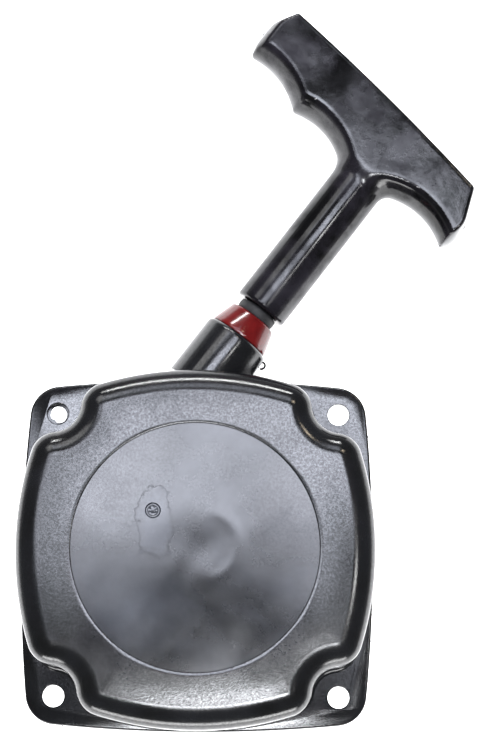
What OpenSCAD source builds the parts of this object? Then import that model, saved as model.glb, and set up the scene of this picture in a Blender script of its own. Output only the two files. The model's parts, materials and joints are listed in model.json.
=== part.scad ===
// Recoil starter of a small two-stroke engine: a square nylon cover with a rope reel, a spiral
// spring and two ratchets inside, and a T handle on the rope that leaves through a short neck.
// +Z points out of the cover's front, +Y up, and the origin is the centre of the mounting face.

/* [Mounting flange] */
// Distance between neighbouring mounting holes
hole_spacing = 92; // [76:0.5:112]
// Diameter of a mounting hole
hole_d = 7; // [5:0.1:8.5]
// From the line of the holes out to the middle of a flange side
flange_margin = 11.3; // [10:0.1:14]
// Thickness of the flange
flange_t = 4; // [3:0.1:6]
// Radius of the flange's rounded corners
flange_corner_r = 10; // [8:0.5:12]
// Radius of the slightly bulged flange sides
flange_side_r = 480; // [300:10:900]

/* [Dome] */
// From the flange's side in to the dome's side, at the middle of a side
dome_step = 0.4; // [0.2:0.1:3]
// Radius of the dome's bulged sides
dome_side_r = 105; // [90:1:160]
// Radius of the hollow that the dome leaves around each mounting hole
notch_r = 9.3; // [8:0.1:11]
// Radius of the dome's corners beside each hollow
dome_corner_r = 8.5; // [7.5:0.1:10]
// Radius of the rounded front edge
edge_r = 5.5; // [3:0.1:6.5]
// Wall thickness of the dome
wall = 2.6; // [2:0.1:3.2]
// Diameter of the flat recess on the front
recess_d = 78.4; // [60:0.2:84]
// Depth of the flat recess on the front
recess_depth = 0.5; // [0.3:0.1:0.8]
// Diameter of the moulding gate's dimple
gate_d = 5; // [3:0.1:7]

/* [Rope and neck] */
// Diameter of the rope
rope_d = 3.5; // [2.5:0.1:4.5]
// Direction in which the rope leaves, from +X towards +Y
pull_angle = 52.8; // [45:0.1:60]
// Outer diameter of the neck
neck_d = 22.6; // [20:0.1:26]
// How far the neck's mouth stands above the dome's side
neck_out = 12.5; // [9:0.1:18]
// Length of the round bore behind the neck's mouth
neck_bore_len = 9; // [6:0.5:12]
// Largest diameter of the guide ring's cone
ring_base_d = 20.4; // [18:0.1:22]
// Smallest diameter of the guide ring's cone
ring_tip_d = 16; // [13:0.1:18]
// Height of the guide ring's cone
ring_h = 8; // [5:0.1:12]
// Diameter of the guide ring's shank in the neck
ring_shank_d = 16; // [12:0.1:17]
// Gap that the bumper fills between the guide ring and the handle
bumper_h = 3.4; // [2:0.1:6]
// Diameter of the bumper
bumper_d = 13.5; // [10:0.1:16]

/* [Handle] */
// Diameter of the handle's shaft
shaft_d = 17.9; // [15:0.1:22]
// Length of the shaft up to the middle of the grip's inner side
shaft_len = 58; // [40:0.5:80]
// Length of the grip on the side with two finger hollows
grip_long = 54.8; // [48:0.2:64]
// Length of the grip on the side with one finger hollow
grip_short = 36.6; // [32:0.2:44]
// Width of the grip along the shaft
grip_w = 21.5; // [18:0.5:26]
// Thickness of the grip
grip_t = 20; // [16:0.5:22]
// Radius of the grip's bulge on its finger side
grip_finger_r = 14; // [12:0.5:20]
// Radius of the grip's slighter bulge on its outer side
grip_back_r = 38; // [30:1:60]
// Slant of the grip, in degrees
grip_slant = 8.5; // [0:0.5:12]
// Radius of a finger hollow
finger_r = 24; // [20:0.5:30]

/* [Reel] */
// Outer diameter of the reel
reel_d = 69; // [56:0.5:78]
// Thickness of each of the reel's cheeks
cheek_t = 2; // [1.5:0.1:3]
// How far a cheek stands out past the wound rope
cheek_lip = 1.15; // [0.8:0.05:2]
// Diameter of the centre post
post_d = 12; // [10:0.1:14]
// Wall of the bush on the post
bush_t = 1.5; // [1:0.1:2.5]
// Wall of the reel's hub
hub_t = 3; // [2:0.1:4]

/* [Spring] */
// Width of the spiral spring's strip
spring_w = 6.6; // [5:0.1:9]
// Thickness of the strip
strip_t = 0.6; // [0.4:0.05:0.8]
// Turns of the spiral spring
spring_turns = 8; // [5:1:12]
// Wall of the spring case
case_t = 1; // [0.8:0.1:1.5]

/* [Ratchets] */
// Thickness of a ratchet
ratchet_t = 2.8; // [2:0.1:4]
// Distance of a ratchet's pivot from the reel's axis
pivot_r = 15; // [14.4:0.1:18]
// Length of a ratchet from its pivot to its nose
ratchet_len = 17; // [14:0.5:19]
// Swing of a ratchet, in degrees
ratchet_swing = 32; // [20:1:36]
// Turn of the guide that swings the ratchets out, in degrees
guide_turn = 30; // [20:1:36]
// Diameter of a ratchet's pin
pin_d = 3.2; // [2.5:0.1:4]
// Diameter of the centre screw's thread
screw_d = 5; // [4:0.1:6]

/* [Clearances] */
// Radial clearance of a turning fit
run_gap = 0.05; // [0.02:0.01:0.1]
// Gap between moving pieces that stay apart
free_gap = 0.3; // [0.2:0.05:0.5]

/* [Hidden] */
$fn = 64;

nylon = "#2b2c2e";
red = "#8e1b1b";
steel = "#9aa0a6";
brass = "#b8964a";
natural = "#d9d6c8";
rope_colour = "#e8e6de";

// Stack of the centre, from the mounting face up
screw_gap = 0.1;
head_h = 2.4;
head_z = 0.8;
screw_washer_t = 0.6;
guide_t = 1.4;
spring_room = 2.6;
thrust_washer_t = 1;
screw_washer_z = head_z + head_h;
sleeve_z = screw_washer_z + screw_washer_t;
guide_z = sleeve_z + screw_gap;
thrust_z = guide_z + guide_t + spring_room;
post_end_z = thrust_z + thrust_washer_t;
ratchet_z = thrust_z - 0.2;
reel_z = ratchet_z + ratchet_t + free_gap;
rope_slack = 0.4;
groove_w = 2*(rope_d + rope_slack);
groove_z = reel_z + cheek_t;
rope_z = groove_z + groove_w/2;
reel_top = groove_z + groove_w + cheek_t;
case_z = reel_top + 4*free_gap;
spring_z = case_z + case_t + free_gap;
ceiling = spring_z + spring_w + free_gap;
hub_z = post_end_z + free_gap;
hub_top = ceiling - 3*free_gap;
dome_h = ceiling + wall + recess_depth;

// Radii of the centre
post_r = post_d/2;
bush_in_r = post_r + run_gap;
bush_r = bush_in_r + bush_t;
hub_r = bush_r + hub_t;
reel_r = reel_d/2;
pull_r = reel_r - cheek_lip - rope_d/2;
coil_out_r = pull_r + rope_d/2;
coil_in_r = coil_out_r - 2*rope_d;
core_r = coil_in_r - 0.1;
rim_t = 4.3;
rim_in_r = core_r - rim_t;
web_t = 3;
reel_wall_in_r = reel_r + 1.7;
reel_wall_t = 2;
case_r = reel_wall_in_r - 0.1;
thrust_r = hub_r - 1.2;
sleeve_r = screw_d/2 + 1;
screw_hole_r = screw_d/2 + screw_gap;
washer_r = sleeve_r + 2.6;
insert_r = screw_d/2 + 1.4;
insert_len = 9;
insert_z = post_end_z + 0.3;

// The outlines of flange and dome
hole_at = hole_spacing/2;
flange_half = hole_at + flange_margin;
dome_half = flange_half - dome_step;

// The rope's straight run starts at the foot, where it leaves the reel
foot = pull_r * [cos(pull_angle + 90), sin(pull_angle + 90)];
mouth_s = (dome_half + neck_out - foot.y) / sin(pull_angle);
neck_r = neck_d/2;
rope_room = 3;
ring_bore_r = rope_d/2 + 0.65;
ring_top_s = mouth_s + ring_h;
shaft_s = ring_top_s + free_gap/3 + bumper_h;
grip_s = shaft_s + shaft_len;
grip_inner_x = -4;
knot_s = grip_s + 9;
knot_r = 3.9;
knot_room_r = knot_r + 0.35;
knot_seat_s = knot_s - knot_r - 0.1;
rope_hole_r = rope_d/2 + 0.5;
run_start_s = sqrt(pow(coil_out_r + rope_d/2 + 0.1, 2) - pow(pull_r, 2));
bumper_spigot = 5;
spigot_r = bumper_d/2 - 1.6;

// Ratchets at rest and the pegs that the guide moves
ratchet_rest = -20;
peg_at = 8;
peg_r = 1.3;
pin_r = pin_d/2;
pin_head_t = 0.8;
pin_in_reel = 6.5;

function polar(r, a) = [r*cos(a), r*sin(a)];
function arc(c, r, a0, a1, n) = [for (i = [0:n]) c + polar(r, a0 + (a1 - a0)*i/n)];
function heading(v) = atan2(v.y, v.x);
function turned(p, a) = [p.x*cos(a) - p.y*sin(a), p.x*sin(a) + p.y*cos(a)];
// The point at distance ra from a and rb from b, on the right of the way from a to b
function meet(a, ra, b, rb) =
    let (d = norm(b - a), x = (d*d + ra*ra - rb*rb)/(2*d), h = sqrt(ra*ra - x*x), u = (b - a)/d)
    a + x*u + h*[u.y, -u.x];

module four_corners() {
    for (k = [0:3]) rotate(90*k) children();
}

// A square with bulged sides: the space within four large circles
module bulged_square(half, side_r) {
    intersection_for (k = [0:3]) rotate(90*k) translate([half - side_r, 0]) circle(side_r, $fn = 360);
}

// Takes away what lies outside the two corner circles whose centres are c and its mirror image
module corner_waste(c, side_centre) {
    out = (c - side_centre)/norm(c - side_centre)*60;
    polygon([c, c + out, 2*[out.x, out.x], [c.y + out.y, c.x + out.x], [c.y, c.x]]);
}

// The dome's outline moved inwards: sides, rounded corners and a hollow around each mounting hole
dome_side = [dome_half - dome_side_r, 0];
dome_corner = meet(dome_side, dome_side_r - dome_corner_r, [hole_at, hole_at], notch_r + dome_corner_r);
module dome_outline(inset) {
    c = dome_corner;
    difference() {
        union() {
            difference() {
                bulged_square(dome_half - inset, dome_side_r - inset);
                four_corners() corner_waste(c, dome_side);
            }
            four_corners() {
                polygon([[0, 0], c, [hole_at, hole_at], [c.y, c.x]]);
                translate(c) circle(dome_corner_r - inset);
                translate([c.y, c.x]) circle(dome_corner_r - inset);
            }
        }
        four_corners() translate([hole_at, hole_at]) circle(notch_r + inset);
    }
}

// The flange's outline: slightly bulged sides that run into round corners
module flange_outline() {
    back = flange_side_r - flange_half;
    reach = flange_side_r - flange_corner_r;
    c = (sqrt(2*reach*reach - back*back) - back)/2 * [1, 1];
    difference() {
        bulged_square(flange_half, flange_side_r);
        four_corners() corner_waste(c, [-back, 0]);
    }
    four_corners() translate(c) circle(flange_corner_r);
}

// Places a child whose +X runs along the rope, from the rope's foot
module along_rope(s = 0) {
    translate([foot.x, foot.y, rope_z]) rotate(pull_angle) translate([s, 0, 0]) children();
}

module rod(r, len, r2 = undef) {
    rotate([0, 90, 0]) cylinder(r1 = r, r2 = is_undef(r2) ? r : r2, h = len);
}

module tube(r_out, r_in, z0, z1) {
    translate([0, 0, z0]) difference() {
        cylinder(r = r_out, h = z1 - z0);
        translate([0, 0, -1]) cylinder(r = r_in, h = z1 - z0 + 2);
    }
}

module at_holes() {
    for (x = [-1, 1], y = [-1, 1]) translate([x*hole_at, y*hole_at]) children();
}

// ---- Housing ----

// A prism of the dome's outline that narrows in steps along a quarter round at its front edge
module stepped_dome(z0, z1, inset, round_r, steps) {
    translate([0, 0, z0]) linear_extrude(z1 - round_r - z0) dome_outline(inset);
    for (k = [1:steps]) {
        a = 90*(k - 0.5)/steps;
        translate([0, 0, z1 - round_r - 1]) linear_extrude(1 + round_r*sin(90*k/steps))
            dome_outline(inset + round_r*(1 - cos(a)));
    }
}

// The neck is round above the rope and has straight sides below it, down to just above the floor
neck_root_s = mouth_s - neck_out - 9;
neck_lift = 1.5;
module neck_outside() {
    along_rope(neck_root_s) {
        rod(neck_r, mouth_s - neck_root_s);
        translate([0, -neck_r, neck_lift - rope_z]) cube([mouth_s - neck_root_s, neck_d, rope_z - neck_lift]);
    }
}

// The open trough behind the neck's round bore, through which the rope comes from the reel
module rope_way() {
    way_r = rope_d/2 + rope_room;
    start_s = run_start_s - rope_room;
    end_s = mouth_s - neck_bore_len;
    along_rope() {
        translate([start_s, 0, 0]) rod(way_r, end_s - start_s);
        translate([neck_root_s - 1, -way_r, -rope_z - 1]) cube([end_s - neck_root_s + 1, 2*way_r, rope_z + 1]);
        translate([end_s - 0.1, 0, 0]) rod(ring_shank_d/2, neck_bore_len + 1);
    }
}

module inner_ribs() {
    rib_t = 2;
    for (a = [0, 45, 180, 225, 270, 315]) rotate(a)
        translate([reel_wall_in_r + 1, -rib_t/2, reel_z]) cube([hole_spacing, rib_t, ceiling - reel_z + 1]);
}

module housing() {
    color(nylon) difference() {
        union() {
            difference() {
                union() {
                    linear_extrude(flange_t) flange_outline();
                    stepped_dome(0, dome_h, 0, edge_r, 6);
                    neck_outside();
                }
                stepped_dome(-1, ceiling, wall, edge_r - wall, 2);
            }
            intersection() {
                linear_extrude(ceiling + 0.5) dome_outline(wall/2);
                union() {
                    tube(reel_wall_in_r + reel_wall_t, reel_wall_in_r, reel_z + 1, ceiling + 1);
                    inner_ribs();
                    translate([0, 0, post_end_z]) cylinder(r = post_r, h = ceiling - post_end_z + 1);
                }
            }
        }
        rope_way();
        translate([0, 0, -1]) at_holes() cylinder(r = hole_d/2, h = flange_t + 2);
        translate([0, 0, post_end_z - 1]) cylinder(r = insert_r, h = insert_z + insert_len + 1.2 - post_end_z);
        translate([0, 0, dome_h - recess_depth]) cylinder(r = recess_d/2, h = 1);
        gate_dimple();
    }
}

// The dimple that the moulding gate leaves, with the sprue's broken stub standing in it
module gate_dimple() {
    gate_at = recess_d/2 * [-0.34, 0.28];
    translate([gate_at.x, gate_at.y, dome_h - recess_depth - 0.8]) difference() {
        cylinder(r = gate_d/2, h = 2);
        translate([0, 0, -1]) cylinder(r = gate_d/2 - 0.6, h = 1.4);
    }
}

module rope_guide_ring() {
    shank = neck_bore_len - 0.5;
    color(red) along_rope(mouth_s) difference() {
        union() {
            rod(ring_base_d/2, ring_h, ring_tip_d/2);
            translate([-shank, 0, 0]) rod(ring_shank_d/2, shank);
        }
        translate([-shank - 1, 0, 0]) rod(ring_bore_r, shank + ring_h + 2);
        translate([ring_h - 1.5, 0, 0]) rod(ring_bore_r, 1.6, ring_bore_r + 1.6);
        translate([-shank - 0.1, 0, 0]) rod(ring_bore_r + 3, 3.1, ring_bore_r);
    }
}

// ---- Spring ----

spring_in_r = hub_r + 1;
spring_out_r = case_r - case_t - 2*free_gap;
hook_angle = 200;

module spring_case() {
    color(natural) {
        difference() {
            union() {
                tube(case_r, case_r - case_t, case_z, ceiling - 0.1);
                tube(case_r, hub_r + 0.6, case_z, case_z + case_t);
            }
            rotate(hook_angle) translate([case_r - 2*case_t, -1, spring_z - 0.2])
                cube([4*case_t, 2, spring_w + 0.4]);
        }
    }
}

// One long side of the strip's outline: the spiral moved outwards by r_shift
function spiral(r_shift) = [for (i = [0:spring_turns*20])
    let (t = i/(spring_turns*20), r = spring_in_r + 0.5 + (spring_out_r - spring_in_r - 1)*t)
    polar(r + r_shift, hook_angle - 360*spring_turns*(1 - t))];

module recoil_spring() {
    inner = spiral(-strip_t/2);
    outer = spiral(strip_t/2);
    color(steel) translate([0, 0, spring_z]) linear_extrude(spring_w)
        polygon(concat(inner, [for (i = [len(outer)-1:-1:0]) outer[i]]));
}

// ---- Centre screw ----

module post_insert() {
    color(brass) tube(insert_r, screw_d/2, insert_z, insert_z + insert_len);
}

module thrust_washer() {
    color(steel) tube(thrust_r, screw_hole_r, thrust_z, post_end_z);
}

module guide_sleeve() {
    color(steel) tube(sleeve_r, screw_hole_r, sleeve_z, thrust_z);
}

module screw_washer() {
    color(steel) tube(washer_r, screw_hole_r, screw_washer_z, sleeve_z);
}

module retaining_screw() {
    across_flats = 1.6*screw_d;
    hex_h = 0.8;
    flange_r = screw_d + 0.4;
    thread_top = insert_z + insert_len - 0.8;
    color(steel) difference() {
        union() {
            translate([0, 0, head_z + hex_h]) cylinder(r = flange_r, h = head_h - hex_h);
            translate([0, 0, head_z]) cylinder(d = across_flats/cos(30), h = hex_h + 0.4, $fn = 6);
            translate([0, 0, head_z + 1]) cylinder(r = screw_d/2, h = thread_top - head_z - 1);
        }
        translate([0, 0, head_z - 0.1]) cylinder(r = screw_d/2 - 0.6, h = 0.6);
    }
}

// ---- Reel ----

knot_angle = 60;
reel_knot_r = 3;
reel_knot_z = groove_z + rope_d/2 + rope_slack;

module at_pivots() {
    for (k = [0, 1]) rotate(180*k) translate([pivot_r, 0, 0]) children();
}

module reel() {
    web_z = reel_top - web_t;
    boss_r = pin_r + 2.2;
    pin_hole = 8;
    slot_w = 2;
    color(natural) difference() {
        union() {
            tube(reel_r, rim_in_r, reel_z, groove_z);
            tube(reel_r, rim_in_r, groove_z + groove_w, reel_top);
            tube(core_r, rim_in_r, reel_z, reel_top);
            tube(rim_in_r + 1, bush_r, web_z, reel_top);
            tube(hub_r, bush_r, hub_z, hub_top);
            translate([0, 0, reel_z]) at_pivots() cylinder(r = boss_r, h = web_z - reel_z + 1);
        }
        translate([0, 0, reel_z - 1]) at_pivots() cylinder(r = pin_r, h = pin_hole);
        translate([0, 0, hub_top - spring_w]) rotate(hook_angle) translate([bush_r + 1, -slot_w/2, 0])
            cube([hub_t, slot_w, spring_w + 1]);
        rotate(knot_angle) translate([rim_in_r - 1, 0, reel_knot_z]) rod(rope_d/2 + 0.25, 7);
    }
}

module reel_bush() {
    color(brass) tube(bush_r, bush_in_r, hub_z + 0.2, hub_top - 0.2);
}

module rope_coil() {
    color(rope_colour) tube(coil_out_r, coil_in_r, groove_z + 0.3, groove_z + groove_w - 0.3);
}

module rope_reel_knot() {
    knot_at = rim_in_r - reel_knot_r - 0.3;
    color(rope_colour) rotate(knot_angle) translate([knot_at, 0, reel_knot_z]) {
        sphere(r = reel_knot_r);
        rod(rope_d/2, core_r - knot_at);
    }
}

module ratchet_pins() {
    color(steel) at_pivots() {
        translate([0, 0, ratchet_z - 0.2]) cylinder(r = pin_r, h = reel_z + pin_in_reel - ratchet_z);
        translate([0, 0, ratchet_z - 0.2 - pin_head_t]) cylinder(r = pin_r + 1.2, h = pin_head_t);
    }
}

// ---- Ratchets and their guide ----

// Where the guide sees a peg, at a share of the travel: it turns while the ratchet swings
function peg_seen(share) = turned([pivot_r, 0] + polar(peg_at, ratchet_rest + ratchet_swing*share - 90),
                                  -guide_turn*share);
cam_from = peg_seen(0);
cam_to = peg_seen(1);
cam_bow = norm(peg_seen(0.5) - (cam_from + cam_to)/2);
slot_r = peg_r + cam_bow/2 + 0.15;
lobe_r = slot_r + 2;

// A straight slot that holds the peg's slightly bowed path
module cam_slot(r) {
    along = cam_to - cam_from;
    translate(cam_from + (peg_seen(0.5) - (cam_from + cam_to)/2)/2) rotate(heading(along)) {
        circle(r);
        translate([0, -r]) square([norm(along), 2*r]);
        translate([norm(along), 0]) circle(r);
    }
}

module ratchet_guide() {
    plate_r = 12;
    color(steel) translate([0, 0, guide_z]) linear_extrude(guide_t) difference() {
        union() {
            circle(plate_r);
            for (k = [0, 1]) rotate(180*k) cam_slot(lobe_r);
        }
        circle(sleeve_r + run_gap);
        for (k = [0, 1]) rotate(180*k) cam_slot(slot_r);
    }
}

// A short helical spring that presses the guide against the screw's washer
module friction_spring() {
    wire_r = 0.4;
    coil_r = sleeve_r + 1.6;
    turns = 2;
    sides = 8;
    rings = turns*16;
    low = guide_z + guide_t + wire_r + 0.05;
    rise = spring_room - 2*wire_r - 0.1;
    points = [for (i = [0:rings]) for (k = [0:sides-1])
        let (a = 360*turns*i/rings, r = coil_r + wire_r*cos(360*k/sides))
        [r*cos(a), r*sin(a), low + rise*i/rings + wire_r*sin(360*k/sides)]];
    walls = [for (i = [0:rings-1]) for (k = [0:sides-1]) let (a = i*sides, b = a + sides, m = (k+1)%sides)
        each [[a + k, a + m, b + k], [a + m, b + m, b + k]]];
    ends = [[for (k = [sides-1:-1:0]) k], [for (k = [0:sides-1]) rings*sides + k]];
    color(steel) polyhedron(points, concat(walls, ends));
}

module ratchet(k) {
    eye_r = pin_r + 2;
    color(steel) rotate(180*k) translate([pivot_r, 0, 0]) rotate(ratchet_rest) difference() {
        union() {
            translate([0, 0, ratchet_z]) linear_extrude(ratchet_t) {
                circle(eye_r);
                polygon([[-eye_r, 0], [eye_r, 0], [3.1, -ratchet_len*0.7], [2.6, -ratchet_len],
                         [-0.6, -ratchet_len - 0.4], [-2.7, -ratchet_len*0.78]]);
            }
            translate([0, -peg_at, guide_z - 0.5]) cylinder(r = peg_r, h = ratchet_z - guide_z + 1);
        }
        translate([0, 0, ratchet_z - 1]) cylinder(r = pin_r + run_gap, h = ratchet_t + 2);
    }
}

module ratchet_1() { ratchet(0); }
module ratchet_2() { ratchet(1); }

// ---- Rope and handle ----

module rope_run() {
    end_s = shaft_s + bumper_spigot + 1;
    color(rope_colour) along_rope(run_start_s) rod(rope_d/2, end_s - run_start_s);
}

module rope_handle_knot() {
    start_s = shaft_s + bumper_spigot + 1;
    color(rope_colour) {
        along_rope(start_s) rod(rope_d/2, knot_s - start_s);
        along_rope(knot_s) sphere(r = knot_r);
    }
}

module handle_bumper() {
    color(nylon) along_rope(shaft_s) difference() {
        union() {
            translate([-bumper_h, 0, 0]) rod(bumper_d/2, bumper_h);
            rod(spigot_r, bumper_spigot);
        }
        translate([-bumper_h - 1, 0, 0]) rod(rope_hole_r, bumper_h + bumper_spigot + 2);
    }
}

// The grip seen from the front, before the finger hollows are cut: its outer corners are round and
// its ends bulge, and on the short side the end slants
module grip_bar() {
    outer_r = 3.2;
    inner_r = 2.6;
    polygon(concat(
        arc([grip_w - outer_r, 6.4 + outer_r - grip_short], outer_r, -60, 0, 4),
        [[grip_w + 0.5, 0]],
        arc([grip_w - outer_r, grip_long - 3 - outer_r], outer_r, 0, 60, 4),
        [[grip_w/2, grip_long + 1]],
        arc([inner_r, grip_long - 3], inner_r, 90, 180, 4),
        [[grip_inner_x, grip_long - 8], [grip_inner_x, 8 - grip_short]],
        arc([inner_r, inner_r - grip_short], inner_r, 180, 270, 4),
        [[grip_w/3, -grip_short]]));
}

// Two finger hollows on the long side and one on the short side, each named by its deepest point
module finger_hollows() {
    hollows = [[-1.2, shaft_d/2 + 12], [1, grip_long - 9], [2.2, -shaft_d/2 - 14]];
    for (h = hollows) translate([h.x - finger_r, h.y]) circle(finger_r);
}

module grip_outline() {
    translate([grip_s, 0]) rotate(-grip_slant) difference() {
        grip_bar();
        finger_hollows();
    }
}

// The grip's section across its length: two flat faces between a well rounded and a slightly bulged side
module grip_section() {
    outer_x = grip_w + 0.6;
    intersection() {
        union() {
            translate([grip_inner_x + grip_finger_r, 0]) circle(grip_finger_r, $fn = 180);
            translate([grip_inner_x + grip_finger_r, -grip_t/2]) square([2*grip_w, grip_t]);
        }
        translate([grip_inner_x, -grip_t/2]) square([2*grip_w, grip_t]);
        translate([outer_x - grip_back_r, 0]) circle(grip_back_r, $fn = 180);
    }
}

module handle() {
    color(nylon) along_rope() difference() {
        union() {
            intersection() {
                translate([0, 0, -grip_t]) linear_extrude(2*grip_t) grip_outline();
                translate([grip_s, 0, 0]) rotate(-grip_slant) translate([0, 2*grip_long, 0])
                    rotate([90, 0, 0]) linear_extrude(4*grip_long) grip_section();
            }
            translate([shaft_s, 0, 0]) rod(shaft_d/2, shaft_len + 6);
        }
        translate([shaft_s - 1, 0, 0]) rod(rope_hole_r, knot_s - shaft_s);
        translate([shaft_s - 1, 0, 0]) rod(spigot_r, bumper_spigot + 1.2);
        translate([knot_seat_s, 0, 0]) rod(knot_room_r, 2*grip_w);
    }
}

housing();
rope_guide_ring();
spring_case();
recoil_spring();
post_insert();
thrust_washer();
guide_sleeve();
screw_washer();
retaining_screw();
reel();
reel_bush();
rope_coil();
rope_reel_knot();
ratchet_pins();
ratchet_guide();
friction_spring();
ratchet_1();
ratchet_2();
rope_run();
rope_handle_knot();
handle_bumper();
handle();
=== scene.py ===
"""Looks of the recoil starter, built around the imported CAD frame.

Shapes are worked out in millimetres in the frame's axes and turned into metres when a mesh is made.
"""
import json
import math

import bpy
import numpy as np
from mathutils import Matrix, Vector


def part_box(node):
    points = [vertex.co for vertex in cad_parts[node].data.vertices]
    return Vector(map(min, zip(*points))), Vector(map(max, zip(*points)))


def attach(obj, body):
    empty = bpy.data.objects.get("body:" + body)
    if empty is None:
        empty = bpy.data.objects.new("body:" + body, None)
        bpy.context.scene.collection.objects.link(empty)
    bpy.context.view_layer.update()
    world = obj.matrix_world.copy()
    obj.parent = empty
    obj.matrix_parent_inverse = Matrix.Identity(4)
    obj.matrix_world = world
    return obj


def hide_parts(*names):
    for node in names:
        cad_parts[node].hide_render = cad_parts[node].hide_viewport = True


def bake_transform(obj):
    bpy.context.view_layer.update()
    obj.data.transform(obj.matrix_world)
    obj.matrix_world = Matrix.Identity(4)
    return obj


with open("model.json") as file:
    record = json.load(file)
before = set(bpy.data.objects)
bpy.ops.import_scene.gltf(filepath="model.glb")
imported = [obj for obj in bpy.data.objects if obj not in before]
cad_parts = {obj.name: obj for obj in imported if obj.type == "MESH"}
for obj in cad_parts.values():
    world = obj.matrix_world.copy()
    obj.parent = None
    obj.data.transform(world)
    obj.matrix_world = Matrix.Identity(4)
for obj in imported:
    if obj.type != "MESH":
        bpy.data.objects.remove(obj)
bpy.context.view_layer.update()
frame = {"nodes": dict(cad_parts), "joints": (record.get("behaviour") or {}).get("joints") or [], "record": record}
MM = 0.001


# ---- Sizes, read from the frame ----

def node_box(name):
    """Lowest and highest corner of a CAD node, in millimetres."""
    return tuple(np.array(corner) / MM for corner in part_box(name))


def joint(name):
    return next(j for j in frame["joints"] if j["name"] == name)


HOLE_AT = frame["record"]["mounts"][0]["dims"]["spacing_x_mm"] / 2
HOLE_R = frame["record"]["mounts"][0]["dims"]["hole_r_mm"]
ROPE_AXIS = np.array(joint("handle_swivel")["axis"], float)
ROPE_FOOT = np.array(joint("handle_swivel")["pos_m"], float) / MM
ROPE_Z = ROPE_FOOT[2]
ROPE_LEFT = np.array([-ROPE_AXIS[1], ROPE_AXIS[0], 0.0])
PULL = joint("handle_pull")["range_m"][1] / MM
HOUSING = node_box("housing")
COVER_HALF = HOUSING[1][0]
DOME_H = HOUSING[1][2]
ROPE_R = (node_box("rope_run")[1][2] - node_box("rope_run")[0][2]) / 2

FLANGE_T = 4.0
FLANGE_SIDE_R = 480.0
DOME_HALF = COVER_HALF - 0.4
DOME_SIDE_R = 105.0
DOME_CORNER_R = 8.5
NOTCH_R = 9.3
WALL = 2.6
RECESS_R = 39.2
FACE_CROWN_R = 1500.0
EDGE_DROP = 0.2
FILLET_END = math.radians(84)
RECESS_DEPTH = 0.5
CEILING = DOME_H - RECESS_DEPTH - WALL
REEL_WALL_IN_R = 36.2
POST_END_Z = 8.9
NECK_R = 11.3
NECK_OUT = 12.5
ROPE_WAY_R = 4.75
RING_SEAT_R = 8.0
RING_SEAT_LEN = 9.0
RING_H = 8.0
BUMPER_GAP = 0.1
BUMPER_H = 3.4
SHAFT_R = 8.95
SHAFT_LEN = 58.0
GRIP_HALF_T = 10.0
GRIP_FINGER_R = 13.5
GRIP_BACK_R = 38.0

# Distances along the rope's straight run, from the foot
ROPE_START_S = 8.9
MOUTH_S = (DOME_HALF + NECK_OUT - ROPE_FOOT[1]) / ROPE_AXIS[1]
RING_TOP_S = MOUTH_S + RING_H
SHAFT_S = RING_TOP_S + BUMPER_GAP + BUMPER_H
GRIP_S = SHAFT_S + SHAFT_LEN
KNOT_S = GRIP_S + 9


# ---- Mesh helpers ----

def mesh_object(name, points, faces, sharp=32):
    """A smooth-shaded mesh from points in millimetres; edges sharper than `sharp` degrees stay crisp."""
    mesh = bpy.data.meshes.new(name)
    mesh.from_pydata((np.asarray(points, float) * MM).tolist(), [], faces)
    mesh.update()
    thing = bpy.data.objects.new(name, mesh)
    bpy.context.scene.collection.objects.link(thing)
    smooth(thing, sharp)
    return thing


def smooth(thing, sharp=32):
    mesh = thing.data
    mesh.polygons.foreach_set("use_smooth", [True] * len(mesh.polygons))
    mesh.set_sharp_from_angle(angle=math.radians(sharp))


def skin(name, loops, caps=True, closed=False, sharp=32):
    """Quads between closed loops of equally many points; the ends are capped, or joined if closed."""
    count = len(loops[0])
    rows = len(loops)
    faces = []
    for i in range(rows if closed else rows - 1):
        a, b = i * count, (i + 1) % rows * count
        faces += [(a + k, a + (k + 1) % count, b + (k + 1) % count, b + k) for k in range(count)]
    if caps and not closed:
        faces.append(tuple(range(count))[::-1])
        faces.append(tuple((rows - 1) * count + k for k in range(count)))
    return mesh_object(name, np.vstack(loops), faces, sharp)


def at_height(loop, z):
    return np.column_stack([loop, np.full(len(loop), z)])


def circle(r, count=96, turn=0.0):
    a = np.arange(count) * 2 * math.pi / count + turn
    return np.column_stack([r * np.cos(a), r * np.sin(a)])


def lathe(name, profile, count=96, closed=True, sharp=32):
    """Turns a profile of (radius, height) about Z; a closed profile makes a ring."""
    return skin(name, [at_height(circle(r, count), z) for r, z in profile], closed=closed, sharp=sharp)


def rounded(profile, radius, steps=4):
    """The closed profile with its corners rounded."""
    out = []
    for i, p in enumerate(profile):
        before, after = np.array(profile[i - 1], float), np.array(profile[(i + 1) % len(profile)], float)
        p = np.array(p, float)
        a, b = before - p, after - p
        reach = min(radius, 0.45 * np.linalg.norm(a), 0.45 * np.linalg.norm(b))
        a, b = p + a / np.linalg.norm(a) * reach, p + b / np.linalg.norm(b) * reach
        out += [(1 - t) ** 2 * a + 2 * t * (1 - t) * p + t * t * b for t in np.linspace(0, 1, steps)]
    return out


def place(thing, matrix):
    thing.data.transform(matrix)
    thing.data.update()
    return thing


def along_rope(s=0.0):
    """Matrix that turns +Z to the rope's direction and moves to distance s along it, in metres."""
    turn = Matrix((ROPE_LEFT, np.array([0, 0, 1.0]), ROPE_AXIS)).transposed().to_4x4()
    return Matrix.Translation(Vector((ROPE_FOOT + ROPE_AXIS * s) * MM)) @ turn


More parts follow.
